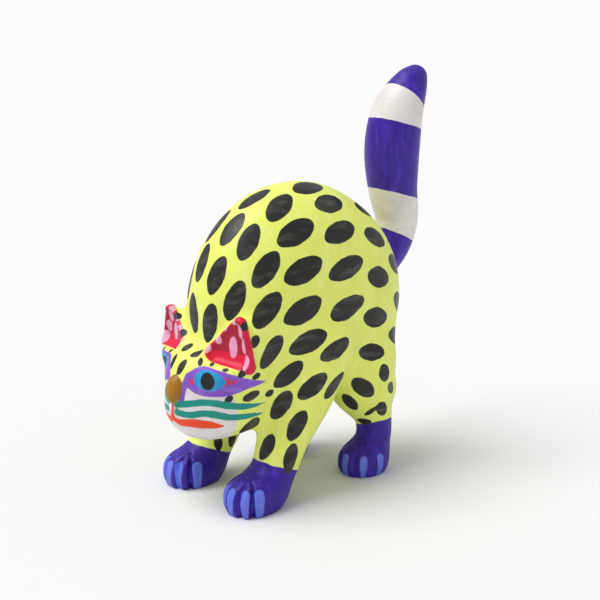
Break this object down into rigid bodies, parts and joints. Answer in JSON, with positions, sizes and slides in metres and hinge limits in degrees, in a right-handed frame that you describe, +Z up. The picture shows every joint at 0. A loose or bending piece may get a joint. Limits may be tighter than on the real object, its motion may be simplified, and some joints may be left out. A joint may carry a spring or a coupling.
{
  "type": "carved wooden cat figure",
  "caption": "Carved and painted wooden cat with a high arched back, low head, cupped ears, toed paws and a thick upright tail.",
  "frame": {"origin": "on the ground, under the middle of the cat's overall width and length", "axes": "+Z up, the cat faces -Y, its left side is +X"},
  "size_m": [0.0732, 0.1556, 0.1879],
  "materials": {
    "painted_wood": "satin acrylic paint"
  },
  "bodies": {
    "root": {"carved_cat": "painted_wood"}
  },
  "joints": []
}
